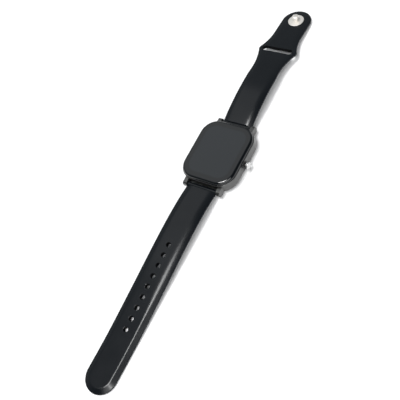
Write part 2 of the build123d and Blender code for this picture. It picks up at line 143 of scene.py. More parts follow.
# ---------------------------------------------------------------- table
# The watch lies on a plain matt white table that fills every view. Its paint takes the lamps' light
# evenly, with only the faintest unevenness from rolling.
TABLE_SIZE = 6.0


class Reading:
    """What a node gives, so that arithmetic on it reads as arithmetic and adds its Math nodes."""

    def __init__(self, finish, socket):
        self.finish = finish
        self.socket = socket

    def combine(self, operation, first, second):
        return self.finish.node("ShaderNodeMath", {"operation": operation}, {0: first, 1: second})

    def __add__(self, other):
        return self.combine("ADD", self, other)

    def __rsub__(self, other):
        return self.combine("SUBTRACT", other, self)

    def __mul__(self, other):
        return self.combine("MULTIPLY", self, other)

    __radd__ = __add__
    __rmul__ = __mul__


class Finish:
    """A material with one Principled shader, and the nodes that feed it."""

    def __init__(self, name, constants):
        self.material = bpy.data.materials.new(name)
        self.material.use_nodes = True
        self.tree = self.material.node_tree
        self.shader = self.tree.nodes["Principled BSDF"]
        for label, value in constants.items():
            self.give(label, value)

    def feed(self, socket, value):
        """Links a reading to a socket, or sets the socket's own value."""
        if isinstance(value, Reading):
            self.tree.links.new(value.socket, socket)
        elif socket.type == "RGBA":
            socket.default_value = (*value, 1)
        else:
            socket.default_value = value

    def give(self, label, value):
        self.feed(self.shader.inputs[label], value)

    def node(self, kind, settings, sockets, output=0):
        """A node with its settings made first, and then its sockets' values or links."""
        made = self.tree.nodes.new(kind)
        for label, value in settings.items():
            setattr(made, label, value)
        for label, value in sockets.items():
            self.feed(made.inputs[label], value)
        return Reading(self, made.outputs[output])

    def place(self, stretch=(1, 1, 1)):
        """Object coordinates, stretched."""
        spot = self.node("ShaderNodeTexCoord", {}, {}, "Object")
        return self.node("ShaderNodeMapping", {}, {"Vector": spot, "Scale": stretch})

    def cloud(self, size, detail=2.0, stretch=(1, 1, 1)):
        """Soft random pattern, size metres across, with 0.5 as its middle."""
        return self.node("ShaderNodeTexNoise", {}, {"Vector": self.place(stretch), "Scale": 1 / size,
                                                    "Detail": detail})

    def step(self, value, low, high):
        """0 below low and 1 above high."""
        return self.node("ShaderNodeMapRange", {"interpolation_type": "SMOOTHSTEP"},
                         {"Value": value, "From Min": low, "From Max": high})

    def mix(self, amount, first, second):
        """The first colour where amount is 0, and the second where it is 1."""
        return self.node("ShaderNodeMix", {"data_type": "RGBA"}, {0: amount, 6: first, 7: second}, 2)

    def relief(self, height, depth, strength=1.0):
        """Bump with a real depth."""
        self.give("Normal", self.node("ShaderNodeBump", {}, {"Height": height, "Distance": depth,
                                                             "Strength": strength}))


bpy.ops.object.select_all(action="DESELECT")
bpy.ops.mesh.primitive_plane_add(size=TABLE_SIZE)
table_top = bpy.context.object
table_top.name = "table_top"
white_paint = Finish("white_table_paint", {"Roughness": 0.7})
rolled = white_paint.cloud(0.4)
white_paint.give("Base Color", white_paint.mix(rolled, (0.925, 0.925, 0.93), (0.935, 0.935, 0.94)))
table_top.data.materials.append(white_paint.material)


# ---------------------------------------------------------------- cover glass
# One sheet of black-backed glass, with the display's window slightly paler than the ink round it. Its
# middle is flat and its border curves down to the metal rim, so a rounded slab is inset and raised.
GLASS_CORNER = 10.15 * mm
GLASS_EDGE = 0.45 * mm                         # upright edge, most of it inside the rim
GLASS_CURVE = 1.7 * mm                         # how far in the curve reaches
GLASS_STEPS = 18
INK_BORDER = 2.5 * mm                          # flat black border round the display's window


def alone(piece):
    """Only this piece is selected."""
    bpy.ops.object.select_all(action="DESELECT")
    piece.select_set(True)
    bpy.context.view_layer.objects.active = piece


def open_mesh(piece):
    alone(piece)
    bpy.ops.object.mode_set(mode="EDIT")
    bpy.ops.mesh.select_all(action="DESELECT")


def close_mesh():
    bpy.ops.object.mode_set(mode="OBJECT")


def pick_edges(piece, wanted):
    """Selects the edges whose middle and direction pass the test."""
    bpy.ops.mesh.select_mode(type="EDGE")
    bpy.ops.mesh.select_all(action="DESELECT")
    mesh = bmesh.from_edit_mesh(piece.data)
    for edge in mesh.edges:
        first, last = (vertex.co for vertex in edge.verts)
        edge.select_set(bool(wanted((first + last) / 2, (last - first).normalized())))
    bmesh.update_edit_mesh(piece.data)


def pick_faces(piece, wanted):
    """Selects the faces whose middle and normal pass the test."""
    bpy.ops.mesh.select_mode(type="FACE")
    bpy.ops.mesh.select_all(action="DESELECT")
    mesh = bmesh.from_edit_mesh(piece.data)
    for face in mesh.faces:
        face.select_set(bool(wanted(face.calc_center_median(), face.normal)))
    bmesh.update_edit_mesh(piece.data)


def settle(piece, angle=30):
    """Merges doubles, drops loose bits, points the faces outwards and shades smooth but for sharp
    edges."""
    open_mesh(piece)
    bpy.ops.mesh.select_all(action="SELECT")
    bpy.ops.mesh.remove_doubles(threshold=0.002 * mm)
    bpy.ops.mesh.delete_loose()
    bpy.ops.mesh.select_all(action="SELECT")
    bpy.ops.mesh.normals_make_consistent(inside=False)
    close_mesh()
    bpy.ops.object.shade_smooth_by_angle(angle=math.radians(angle))


def slab(name, width, length, corner, low, high, at=(0, 0), steps=28):
    """Slab with round corners between two heights."""
    bpy.ops.object.select_all(action="DESELECT")
    bpy.ops.mesh.primitive_cube_add(size=1, location=(at[0], at[1], (low + high) / 2),
                                    scale=(width, length, high - low))
    piece = bpy.context.object
    piece.name = name
    bpy.ops.object.transform_apply(location=True, rotation=True, scale=True)
    open_mesh(piece)
    pick_edges(piece, lambda middle, way: abs(way.z) > 0.9)
    bpy.ops.mesh.bevel(offset=corner, segments=steps, affect="EDGES")
    close_mesh()
    return piece


glass_low, glass_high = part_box("cover_glass")
glass = slab("curved_cover_glass", glass_high.x - glass_low.x, glass_high.y - glass_low.y, GLASS_CORNER,
             glass_low.z, glass_low.z + GLASS_EDGE)
glass_rise = glass_high.z - glass_low.z - GLASS_EDGE
open_mesh(glass)
pick_faces(glass, lambda middle, way: way.z > 0.9)
for step in range(GLASS_STEPS):
    before = math.pi / 2 * step / GLASS_STEPS
    after = math.pi / 2 * (step + 1) / GLASS_STEPS
    bpy.ops.mesh.inset(thickness=GLASS_CURVE * (math.cos(before) - math.cos(after)))
    bpy.ops.transform.translate(value=(0, 0, glass_rise * (math.sin(after) - math.sin(before))))
bpy.ops.mesh.inset(thickness=INK_BORDER)
close_mesh()
settle(glass, 50)


def backed_glass(name, backing):
    """Polished glass over a dark backing, with a faint film where fingers wipe it."""
    sheet = Finish(name, {"Base Color": backing, "IOR": 1.55})
    finger_film = sheet.cloud(12 * mm, 4, (1, 0.5, 1))
    sheet.give("Roughness", 0.03 + 0.05 * sheet.step(finger_film, 0.5, 0.75))
    return sheet.material


glass.data.materials.append(backed_glass("black_backed_glass", (0.002, 0.003, 0.004)))
glass.data.materials.append(backed_glass("display_window_glass", (0.006, 0.0085, 0.011)))
# The one flat face at the middle is the display's window.
for face in glass.data.polygons:
    inside = abs(face.center.x) < mm and abs(face.center.y) < mm
    face.material_index = int(inside and face.normal.z > 0.9)
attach(glass, "case")
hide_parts("cover_glass")


# ---------------------------------------------------------------- metal case
# The mid case with its four lugs is machined from one block of alloy, then blasted and anodised
# grey. It keeps the shape that the frame gives it, with its triangles joined so it shades smooth.
GREY = (0.115, 0.116, 0.114)
SILVER = (0.64, 0.64, 0.635)


def smooth_copy(node, name, angle=30):
    """A piece with a CAD node's own shape, whose joined triangles can be shaded smooth."""
    piece = bpy.data.objects.new(name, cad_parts[node].data.copy())
    bpy.context.scene.collection.objects.link(piece)
    piece.data.materials.clear()
    alone(piece)
    bpy.ops.mesh.customdata_custom_splitnormals_clear()
    open_mesh(piece)
    bpy.ops.mesh.select_all(action="SELECT")
    bpy.ops.mesh.remove_doubles(threshold=0.001 * mm)
    bpy.ops.mesh.dissolve_limited(angle_limit=math.radians(0.5))
    close_mesh()
    bpy.ops.object.shade_smooth_by_angle(angle=math.radians(angle))
    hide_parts(node)
    return piece


def soften(piece, width, steps=2):
    """Takes the sharpness off a piece's edges, as tumbling or a mould's radius does."""
    alone(piece)
    bevel = piece.modifiers.new("soft_edges", "BEVEL")
    bevel.width = width
    bevel.segments = steps
    bevel.limit_method = "ANGLE"
    bevel.angle_limit = math.radians(38)
    bevel.use_clamp_overlap = True
    bpy.ops.object.modifier_apply(modifier="soft_edges")
    bpy.ops.object.shade_smooth_by_angle(angle=math.radians(35))


def blasted_metal(name, colour, roughness, pits=0.11 * mm):
    """Satin metal: fine pits from blasting, and slow changes in its shine from handling."""
    metal = Finish(name, {"Metallic": 1.0})
    handled = metal.cloud(6 * mm, 3)
    worn = tuple(channel * 0.92 for channel in colour)
    metal.give("Base Color", metal.mix(metal.step(handled, 0.35, 0.7), colour, worn))
    metal.give("Roughness", roughness - 0.05 + 0.1 * handled)
    metal.relief(metal.cloud(pits, 1), 0.004 * mm, 0.5)
    return metal.material


case = smooth_copy("case_frame", "anodised_case")
case.data.materials.append(blasted_metal("grey_anodised", GREY, 0.3))
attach(case, "case")


# ---------------------------------------------------------------- crown
# A flat round button turned from paler alloy, with fine straight cuts round its rim and a shallow
# dish in its face. It is pressed on a thin steel stem that comes out of a black ring in the wall.
RIM_CUTS = 36
CUT_DEPTH = 0.028                              # share of the radius


def lathe(name, profile, steps=64):
    """Turns a profile of radius and height about Z."""
    mesh = bpy.data.meshes.new(name)
    mesh.from_pydata([(radius, 0, height) for radius, height in profile],
                     [(index, index + 1) for index in range(len(profile) - 1)], [])
    piece = bpy.data.objects.new(name, mesh)
    bpy.context.scene.collection.objects.link(piece)
    open_mesh(piece)
    bpy.ops.mesh.select_all(action="SELECT")
    bpy.ops.mesh.spin(steps=steps, angle=2 * math.pi, center=(0, 0, 0), axis=(0, 0, 1))
    bpy.ops.mesh.select_all(action="SELECT")
    bpy.ops.mesh.remove_doubles(threshold=0.002 * mm)
    bpy.ops.mesh.normals_make_consistent(inside=False)
    close_mesh()
    return piece


def stand(piece, place, axis):
    """Moves a turned piece so that its base is at a place and its axis points a way."""
    turned = Vector(axis).to_track_quat("Z", "Y").to_matrix().to_4x4()
    piece.data.transform(Matrix.Translation(place) @ turned)


knob_low, knob_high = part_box("crown_knob")
KNOB_R = (knob_high.z - knob_low.z) / 2
KNOB_T = knob_high.x - knob_low.x
STEM_R = 0.86 * mm
crown_y = (knob_low.y + knob_high.y) / 2
crown_z = (knob_low.z + knob_high.z) / 2
knob = lathe("crown_button", [
    (0, 0.6 * mm), (STEM_R, 0.6 * mm), (STEM_R, 0), (KNOB_R - 0.25 * mm, 0),
    (KNOB_R - 0.06 * mm, 0.06 * mm), (KNOB_R, 0.2 * mm), (KNOB_R, KNOB_T - 0.3 * mm),
    (KNOB_R - 0.05 * mm, KNOB_T - 0.15 * mm), (KNOB_R - 0.18 * mm, KNOB_T - 0.04 * mm),
    (KNOB_R - 0.4 * mm, KNOB_T), (KNOB_R - 0.7 * mm, KNOB_T - 0.02 * mm),
    (KNOB_R - 0.9 * mm, KNOB_T - 0.12 * mm), (KNOB_R - 1.2 * mm, KNOB_T - 0.16 * mm),
    (0, KNOB_T - 0.18 * mm)], RIM_CUTS * 4)
for vertex in knob.data.vertices:
    if vertex.co.xy.length > KNOB_R - 0.02 * mm and 0.15 * mm < vertex.co.z < KNOB_T - 0.25 * mm:
        groove = 0.5 - 0.5 * math.cos(RIM_CUTS * math.atan2(vertex.co.y, vertex.co.x))
        vertex.co.x *= 1 - CUT_DEPTH * groove
        vertex.co.y *= 1 - CUT_DEPTH * groove
stand(knob, (knob_low.x, crown_y, crown_z), (1, 0, 0))
settle(knob, 35)
knob.data.materials.append(blasted_metal("silver_turned", SILVER, 0.26))
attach(knob, "crown")
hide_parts("crown_knob")

collar_low, collar_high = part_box("crown_collar")
COLLAR_R = (collar_high.z - collar_low.z) / 2
COLLAR_T = collar_high.x - collar_low.x
collar = lathe("crown_ring", [
    (1.1 * mm, 0), (COLLAR_R, 0), (COLLAR_R, COLLAR_T - 0.14 * mm),
    (COLLAR_R - 0.12 * mm, COLLAR_T - 0.03 * mm), (COLLAR_R - 0.4 * mm, COLLAR_T),
    (1.6 * mm, COLLAR_T), (1.45 * mm, COLLAR_T - 0.15 * mm), (1.3 * mm, 0.3 * mm),
    (1.1 * mm, 0.25 * mm), (1.1 * mm, 0)])
stand(collar, (collar_low.x, crown_y, crown_z), (1, 0, 0))
settle(collar, 35)


def moulded_plastic(name, colour, roughness=0.42, grain=0.25 * mm, depth=0.008 * mm):
    """Injection-moulded plastic with the fine grain of a spark-eroded mould."""
    plastic = Finish(name, {"Base Color": colour, "IOR": 1.5})
    rubbed = plastic.cloud(4 * mm)
    plastic.give("Roughness", roughness - 0.06 + 0.12 * rubbed)
    plastic.relief(plastic.cloud(grain), depth, 0.6)
    return plastic.material


black_plastic = moulded_plastic("black_moulding", (0.012, 0.012, 0.013))
collar.data.materials.append(black_plastic)
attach(collar, "case")
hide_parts("crown_collar")


def turned_metal(name, colour, roughness, pitch=0.06 * mm):
    """Metal turned on a lathe: fine rings along its axis and a little uneven shine."""
    metal = Finish(name, {"Metallic": 1.0})
    patch = metal.cloud(1.5 * mm)
    dull = tuple(channel * 0.85 for channel in colour)
    metal.give("Base Color", metal.mix(metal.step(patch, 0.4, 0.7), colour, dull))
    metal.give("Roughness", roughness - 0.04 + 0.08 * patch)
    rings = metal.node("ShaderNodeTexWave", {"bands_direction": "X"},
                       {"Vector": metal.place(), "Scale": 0.3 / pitch, "Distortion": 0.3})
    metal.relief(rings, 0.002 * mm, 0.4)
    return metal.material


steel = turned_metal("turned_steel", (0.58, 0.57, 0.56), 0.25)
brass = turned_metal("turned_brass", (0.78, 0.57, 0.26), 0.28)
stem = smooth_copy("crown_stem", "crown_pin")
stem.data.materials.append(steel)
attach(stem, "crown")


# ---------------------------------------------------------------- strap profile
# Both strap halves are moulded in soft-touch silicone. In cross-section each has a flat top between two
# sloping shoulders and a rounded underside; along its length it arches up and comes down to its end.
STRAP_START = 23.5 * mm                        # where a strap's full thickness starts
FRONT_ROUND = 0.4 * mm                         # rounding of its front edge
UNDER_REACH, UNDER_SHARE = 3.0 * mm, 0.34      # width of its rounded underside and share of its thickness
LAYER_STEP = 1 * mm                            # gap between the grid and its copy before shaping
# The grid's columns, in mm from the strap's side, and how many more there are between its two sides.
FROM_SIDE = [0, 0.02, 0.07, 0.15, 0.27, 0.42, 0.62, 0.9, 1.2, 1.5, 1.8, 2.1, 2.35, 2.55, 2.7, 2.83, 2.95,
             3.07, 3.2, 3.35, 3.55, 3.8, 4.15, 4.6, 5.1]
MIDDLE_COLUMNS = 8
THIN_EDGE = 0.05 * mm                          # half the least thickness at a corner
KNUCKLE_R, BORE_R = 1.4 * mm, 0.86 * mm        # rolled end around the spring bar
KNUCKLE_HALF = 9.85 * mm                       # half its length, just short of the strap's sides
WEB_BELOW, WEB_ABOVE = 0.8 * mm, 0.9 * mm      # the web that joins it, from the spring bar's middle
WEB_LENGTH = 1.3 * mm
ARCH_STEPS = 300


def bezier(points, share):
    """A point of the cubic curve with these four control points."""
    rest = 1 - share
    weights = (rest ** 3, 3 * rest ** 2 * share, 3 * rest * share ** 2, share ** 3)
    return [sum(weight * point[axis] for weight, point in zip(weights, points)) * mm for axis in range(3)]


def arch(points, end):
    """Rows of distance, underside height and top height, from the lugs to the strap's end."""
    curve = [bezier(points, index / ARCH_STEPS) for index in range(ARCH_STEPS + 1)]
    return curve + [[value * mm for value in end]]


def heights(rows, distance):
    """Underside and top height at a distance from the case's middle."""
    for before, after in zip(rows, rows[1:]):
        if distance <= after[0]:
            share = (distance - before[0]) / (after[0] - before[0])
            return [low + (high - low) * share for low, high in zip(before[1:], after[1:])]
    return rows[-1][1:]


def ease(value, low, high):
    """0 below low, 1 above high and smooth between."""
    share = min(max((value - low) / (high - low), 0), 1)
    return share * share * (3 - 2 * share)


def bent(value, softness):
    """0 below 0 and value above it, with a soft bend between."""
    scaled = value / softness
    return value if scaled > 30 else softness * math.log1p(math.exp(scaled))


def rounded(distance, radius):
    """How much a rounded edge takes off at a distance from the side."""
    return radius - math.sqrt(max(radius ** 2 - max(radius - distance, 0) ** 2, 0))


def end_rows(radius, middle, steps=26):
    """Places around one side of a round end: x, distance and the direction inwards."""
    turns = [math.pi / 2 * index / steps for index in range(1, steps + 1)]
    return [(radius * math.cos(turn), middle + radius * math.sin(turn), -math.cos(turn), -math.sin(turn))
            for turn in turns]


def strap_blank(name, edge, rows, shoulder, way):
    """A strap half before its holes. Each place on its edge, and the same place on the other side,
    is joined by a row of a grid whose columns follow the edge. The grid is extruded down, and both
    layers then get the heights of the strap's top and underside."""
    inner_columns = [(index + 1) / (MIDDLE_COLUMNS + 1) for index in range(MIDDLE_COLUMNS)]
    columns = 2 * len(FROM_SIDE) + MIDDLE_COLUMNS
    bpy.ops.object.select_all(action="DESELECT")
    bpy.ops.mesh.primitive_grid_add(x_subdivisions=columns - 1, y_subdivisions=len(edge) - 1, size=1)
    piece = bpy.context.object
    piece.name = name
    along = piece.data.attributes.new("along", "FLOAT", "POINT")
    inward = piece.data.attributes.new("from_side", "FLOAT", "POINT")
    index = 0
    for edge_x, edge_y, in_x, in_y in edge:
        line = [(edge_x + in_x * step * mm, edge_y + in_y * step * mm, step * mm) for step in FROM_SIDE]
        inner_x, inner_y, inner_step = line[-1]
        places = line + [(inner_x * (1 - 2 * share), inner_y, inner_step) for share in inner_columns]
        places += [(-x, y, step) for x, y, step in reversed(line)]
        for x, y, step in places:
            piece.data.vertices[index].co = (x, way * y, 0)
            along.data[index].value = y
            inward.data[index].value = step
            index += 1
    open_mesh(piece)
    bpy.ops.mesh.select_all(action="SELECT")
    bpy.ops.mesh.extrude_region_move(TRANSFORM_OT_translate={"value": (0, 0, -LAYER_STEP)})
    close_mesh()
    along = piece.data.attributes["along"]
    inward = piece.data.attributes["from_side"]
    for vertex in piece.data.vertices:
        distance = along.data[vertex.index].value
        step = inward.data[vertex.index].value
        low, high = heights(rows, distance)
        width, slope, softness, edge_round = shoulder(distance)
        front = rounded(distance - STRAP_START, FRONT_ROUND)
        hull = rounded(step, UNDER_REACH) / UNDER_REACH * UNDER_SHARE * (high - low)
        drop = slope * bent(width - step, softness) + rounded(step, edge_round)
        middle = (low + hull + high - drop) / 2
        half = max((high - drop - low - hull) / 2 - front, THIN_EDGE)
        vertex.co.z = middle + (-half if vertex.co.z < -LAYER_STEP / 2 else half)
    piece.data.attributes.remove(piece.data.attributes["along"])
    piece.data.attributes.remove(piece.data.attributes["from_side"])
    # The last row is folded onto the middle line, so the wall below it is inside the strap.
    open_mesh(piece)
    pick_faces(piece, lambda middle, facing: abs(middle.x) < 0.0005 * mm and abs(facing.x) > 0.9)
    bpy.ops.mesh.delete(type="ONLY_FACE")
    close_mesh()
    settle(piece)
    return piece


def carve(piece, tools, operation="DIFFERENCE"):
    """Cuts a piece with its tools, or joins them to it, and takes the tools away."""
    alone(tools[0])
    for tool in tools:
        tool.select_set(True)
    if len(tools) > 1:
        bpy.ops.object.join()
    tool = tools[0]
    alone(piece)
    cut = piece.modifiers.new("carve", "BOOLEAN")
    cut.operation = operation
    cut.solver = "EXACT"
    cut.object = tool
    bpy.ops.object.modifier_apply(modifier="carve")
    bpy.data.objects.remove(tool)


def round_bar(name, radius, half, y, z, steps=48):
    """Bar that lies across the watch."""
    bpy.ops.object.select_all(action="DESELECT")
    bpy.ops.mesh.primitive_cylinder_add(vertices=steps, radius=radius, depth=2 * half,
                                        location=(0, y, z), rotation=(0, math.pi / 2, 0))
    piece = bpy.context.object
    piece.name = name
    bpy.ops.object.transform_apply(location=True, rotation=True, scale=True)
    return piece


CUTTER_STEPS, FLARE_STEPS = 56, 5


def hole_tool(radius, stretch, thickness, flare, place, tilt):
    """Cutter for a through hole whose rims are rounded outwards. Stretched, it cuts a slot. It is
    turned by half a step, so that none of its corners lies on the line where it is stretched."""
    turns = [math.pi / 2 * index / FLARE_STEPS for index in range(FLARE_STEPS + 1)]
    upper = [(radius + flare * (1 - math.cos(turn)), flare * (math.sin(turn) - 1)) for turn in turns]
    lower = [(across, -thickness - height) for across, height in reversed(upper)]
    wide = radius + flare
    profile = [(0, -thickness - mm), (wide, -thickness - mm)] + lower + upper + [(wide, mm), (0, mm)]
    tool = lathe("hole_tool", profile, CUTTER_STEPS)
    tool.data.transform(Matrix.Rotation(math.pi / CUTTER_STEPS, 4, "Z"))
    for vertex in tool.data.vertices:
        if abs(vertex.co.x) > 0.01 * mm:
            vertex.co.x += math.copysign(stretch, vertex.co.x)
    tool.data.transform(Matrix.Translation(place) @ Matrix.Rotation(tilt, 4, "X"))
    return tool


def add_knuckle(strap, node, way):
    """Joins the rolled end to a strap and bores it for the spring bar."""
    low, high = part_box(node)
    bar_y = (low.y + high.y) / 2
    bar_z = (low.z + high.z) / 2
    web = slab("web", 2 * KNUCKLE_HALF - 0.1 * mm, WEB_LENGTH, 0.05 * mm, bar_z - WEB_BELOW,
               bar_z + WEB_ABOVE, (0, way * (STRAP_START - 0.05 * mm)), 1)
    roll = round_bar("roll", KNUCKLE_R, KNUCKLE_HALF, bar_y, bar_z, 64)
    carve(roll, [web], "UNION")
    carve(strap, [roll], "UNION")
    carve(strap, [round_bar("bore", BORE_R, 12 * mm, bar_y, bar_z)])


def soft_silicone():
    """Blue-black silicone: a dull skin with very fine grain and faint rubbed patches."""
    rubber = Finish("black_silicone", {"IOR": 1.38})
    rubbed = rubber.cloud(9 * mm, 3)
    rubber.give("Base Color", rubber.mix(rubbed, (0.003, 0.0042, 0.0058), (0.0042, 0.0056, 0.0074)))
    rubber.give("Roughness", 0.18 + 0.07 * rubbed)
    rubber.relief(rubber.cloud(0.16 * mm, 1), 0.004 * mm, 0.5)
    return rubber.material


def hole_shade_silicone():
    """The same silicone, rougher and darker, for the walls of holes and the slot: painted shade."""
    rubber = Finish("rough_silicone_painted_shade", {"IOR": 1.2})
    grain = rubber.cloud(0.3 * mm, 2)
    rubber.give("Base Color", rubber.mix(grain, (0.002, 0.0025, 0.003), (0.003, 0.0035, 0.004)))
    rubber.give("Roughness", 0.75 + 0.15 * grain)
    return rubber.material


UPRIGHT = 0.75                                 # most that a wall's normal may point up or down


def coat_strap(strap, inside):
    """Silicone all over; the faces that pass the test get the rougher, darker silicone as painted shade.
    """
    strap.data.materials.clear()
    strap.data.materials.append(silicone)
    strap.data.materials.append(painted_shade_silicone)
    for face in strap.data.polygons:
        face.material_index = int(inside(face.center, face.normal))


silicone = soft_silicone()
painted_shade_silicone = hole_shade_silicone()


# ---------------------------------------------------------------- long strap
# The holed half: its shoulders are soft at the case and end in a crisp crease along the tail. Nine
# through holes with rounded rims run down its middle, and its end is a full round.
LONG_ARCH = arch([(23.5, 2.9, 6.0), (50, 8.0, 11.1), (95, 0, 2.6), (132, 0, 2.6)], (153, 0, 2.6))
FIRST_HOLE, HOLE_PITCH, HOLES = 62.8 * mm, 6.5 * mm, 9
HOLE_R, HOLE_FLARE = 1.5 * mm, 0.16 * mm
HOLE_MARGIN = 5 * mm                           # kept clear at the tip and added before the first hole
LONG_ROW_STEP = 1.15 * mm
LAST_ROW_GAP = 1.3 * mm                        # room left before the row where a round end starts
HALF_WIDTH = 10 * mm
long_tip = -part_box("long_strap")[0].y


def long_shoulder(distance):
    """Width and slope of a shoulder, softness of its crease and rounding of the side edge."""
    tail = ease(distance, 74 * mm, 112 * mm)
    return 3.1 * mm, 0.42 - 0.02 * tail, (1.0 - 0.8 * tail) * mm, (0.5 - 0.2 * tail) * mm


# The first rows, in mm from the case's middle, close together where the front edge is rounded.
FRONT_ROWS = [23.5, 23.52, 23.56, 23.62, 23.7, 23.8, 23.92, 24.1, 24.4, 24.9, 25.7]
long_rows = [row * mm for row in FRONT_ROWS]
while long_rows[-1] < long_tip - HALF_WIDTH - LAST_ROW_GAP:
    long_rows.append(long_rows[-1] + LONG_ROW_STEP)
long_rows.append(long_tip - HALF_WIDTH)
long_edge = [(HALF_WIDTH, row, -1, 0) for row in long_rows] + end_rows(HALF_WIDTH, long_tip - HALF_WIDTH)
long_strap = strap_blank("long_silicone_strap", long_edge, LONG_ARCH, long_shoulder, -1)
add_knuckle(long_strap, "long_bar_barrel", -1)
for index in range(HOLES):
    hole_at = FIRST_HOLE + index * HOLE_PITCH
    high_before = heights(LONG_ARCH, hole_at - mm)[1]
    high_after = heights(LONG_ARCH, hole_at + mm)[1]
    slope = math.atan2(high_before - high_after, 2 * mm)
    low, high = heights(LONG_ARCH, hole_at)
    carve(long_strap, [hole_tool(HOLE_R, 0, (high - low) * math.cos(slope), HOLE_FLARE,
                                 (0, -hole_at, high), slope)])
settle(long_strap, 32)


def in_hole(middle, way):
    """Whether a face of the long strap is part of a hole's wall."""
    among_holes = HOLE_MARGIN - long_tip < middle.y < HOLE_MARGIN - FIRST_HOLE
    return among_holes and abs(middle.x) < HOLE_R + 0.03 * mm and abs(way.z) < UPRIGHT


# The walls of the holes get the darker silicone: painted shade.
coat_strap(long_strap, in_hole)
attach(long_strap, "long_strap")
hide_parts("long_strap")


# ---------------------------------------------------------------- short strap
# The stud half: it widens around the slot that the tail tucks through, narrows again to a round end,
# and has a shallow recess above and below for the stud's disc and rivet.
SHORT_ARCH = arch([(23.5, 2.9, 6.0), (46, 8.6, 11.7), (66, 5.358, 7.972), (88, 3.1, 5.714)],
                  (118.2, 0, 2.614))
STUD_AT, END_R = 108.4 * mm, 9.8 * mm
END_TILT = -math.atan2(3.1, 30.2)               # the straight end's slope down to the table
SLOT_AT, SLOT_HALF = 81.4 * mm, 8.6 * mm
SLOT_R, SLOT_FLARE = 1.9 * mm, 0.25 * mm
DISC_R, RIVET_R = 5.1 * mm, 3.0 * mm
SHORT_ROW_STEP, FINE_ROW_STEP = 1.1 * mm, 0.4 * mm


def circle_through(first, second, third):
    """Middle and radius of the circle through three points."""
    (ax, ay), (bx, by), (cx, cy) = first, second, third
    twice = 2 * (ax * (by - cy) + bx * (cy - ay) + cx * (ay - by))
    a, b, c = ax * ax + ay * ay, bx * bx + by * by, cx * cx + cy * cy
    middle_x = (a * (by - cy) + b * (cy - ay) + c * (ay - by)) / twice
    middle_y = (a * (cx - bx) + b * (ax - cx) + c * (bx - ax)) / twice
    return middle_x, middle_y, math.hypot(ax - middle_x, ay - middle_y)


# Each curved stretch of the outline: three places as half-width and distance.
WAIST = [((9.9, 60.0), (10.35, 72.0), (12.75, 79.9)),
         ((12.75, 79.9), (13.2, 81.6), (12.6, 83.4)),
         ((12.6, 83.4), (10.3, 90.5), (9.8, 98.0))]


def short_half_width(distance):
    """Half the width at a distance: a slight taper, then the waist's arcs, then the round end's."""
    place = distance / mm
    for stretch in WAIST:
        if stretch[0][1] <= place <= stretch[2][1]:
            middle_x, middle_y, radius = circle_through(*stretch)
            reach = math.sqrt(max(radius ** 2 - (place - middle_y) ** 2, 0))
            return (middle_x + math.copysign(reach, stretch[1][0] - middle_x)) * mm
    if place < WAIST[0][0][1]:
        return (10 - 0.1 * (place - 23.5) / 36.5) * mm
    return END_R


def short_shoulder(distance):
    """The same four measures as for the long strap."""
    end = ease(distance, 36 * mm, 74 * mm)
    return 3.0 * mm, 0.42 - 0.2 * end, (0.8 - 0.2 * end) * mm, 0.5 * mm


short_rows = [row * mm for row in FRONT_ROWS]
while short_rows[-1] < STUD_AT - LAST_ROW_GAP:
    near_waist = 74 * mm < short_rows[-1] < 92 * mm
    short_rows.append(short_rows[-1] + (FINE_ROW_STEP if near_waist else SHORT_ROW_STEP))
short_rows.append(STUD_AT)
short_edge = [(short_half_width(row), row, -1, 0) for row in short_rows] + end_rows(END_R, STUD_AT)
short_strap = strap_blank("short_silicone_strap", short_edge, SHORT_ARCH, short_shoulder, 1)
add_knuckle(short_strap, "short_bar_barrel", 1)
slot_low, slot_high = heights(SHORT_ARCH, SLOT_AT)
slot_tool = hole_tool(SLOT_R, SLOT_HALF, slot_high - slot_low, SLOT_FLARE, (0, SLOT_AT, slot_high),
                      END_TILT)
stud_low = heights(SHORT_ARCH, STUD_AT)[0]
end_frame = Matrix.Translation((0, STUD_AT, stud_low)) @ Matrix.Rotation(END_TILT, 4, "X")
disc_seat = lathe("disc_seat", [(0, 2.1 * mm), (DISC_R + 0.05 * mm, 2.1 * mm),
                                (DISC_R + 0.05 * mm, 2.45 * mm), (DISC_R + 0.25 * mm, 2.65 * mm),
                                (DISC_R + 0.25 * mm, 4 * mm), (0, 4 * mm)])
disc_seat.data.transform(end_frame)
rivet_seat = lathe("rivet_seat", [(0, -2 * mm), (RIVET_R + 0.05 * mm, -2 * mm),
                                  (RIVET_R + 0.05 * mm, 0.45 * mm), (0, 0.45 * mm)])
rivet_seat.data.transform(end_frame)
shank_hole = lathe("shank_hole", [(0, 0.2 * mm), (1.22 * mm, 0.2 * mm), (1.22 * mm, 2.3 * mm),
                                  (0, 2.3 * mm)], 32)
shank_hole.data.transform(end_frame)
carve(short_strap, [slot_tool, disc_seat, rivet_seat])
carve(short_strap, [shank_hole])
settle(short_strap, 32)


def in_slot(middle, way):
    """Whether a face of the short strap is part of the slot's wall."""
    near_slot = abs(middle.y - SLOT_AT) < SLOT_R + 0.5 * mm
    return near_slot and abs(middle.x) < SLOT_HALF + SLOT_R + 0.1 * mm and abs(way.z) < UPRIGHT


# The walls of the slot get the darker silicone: painted shade.
coat_strap(short_strap, in_slot)
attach(short_strap, "short_strap")
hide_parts("short_strap")


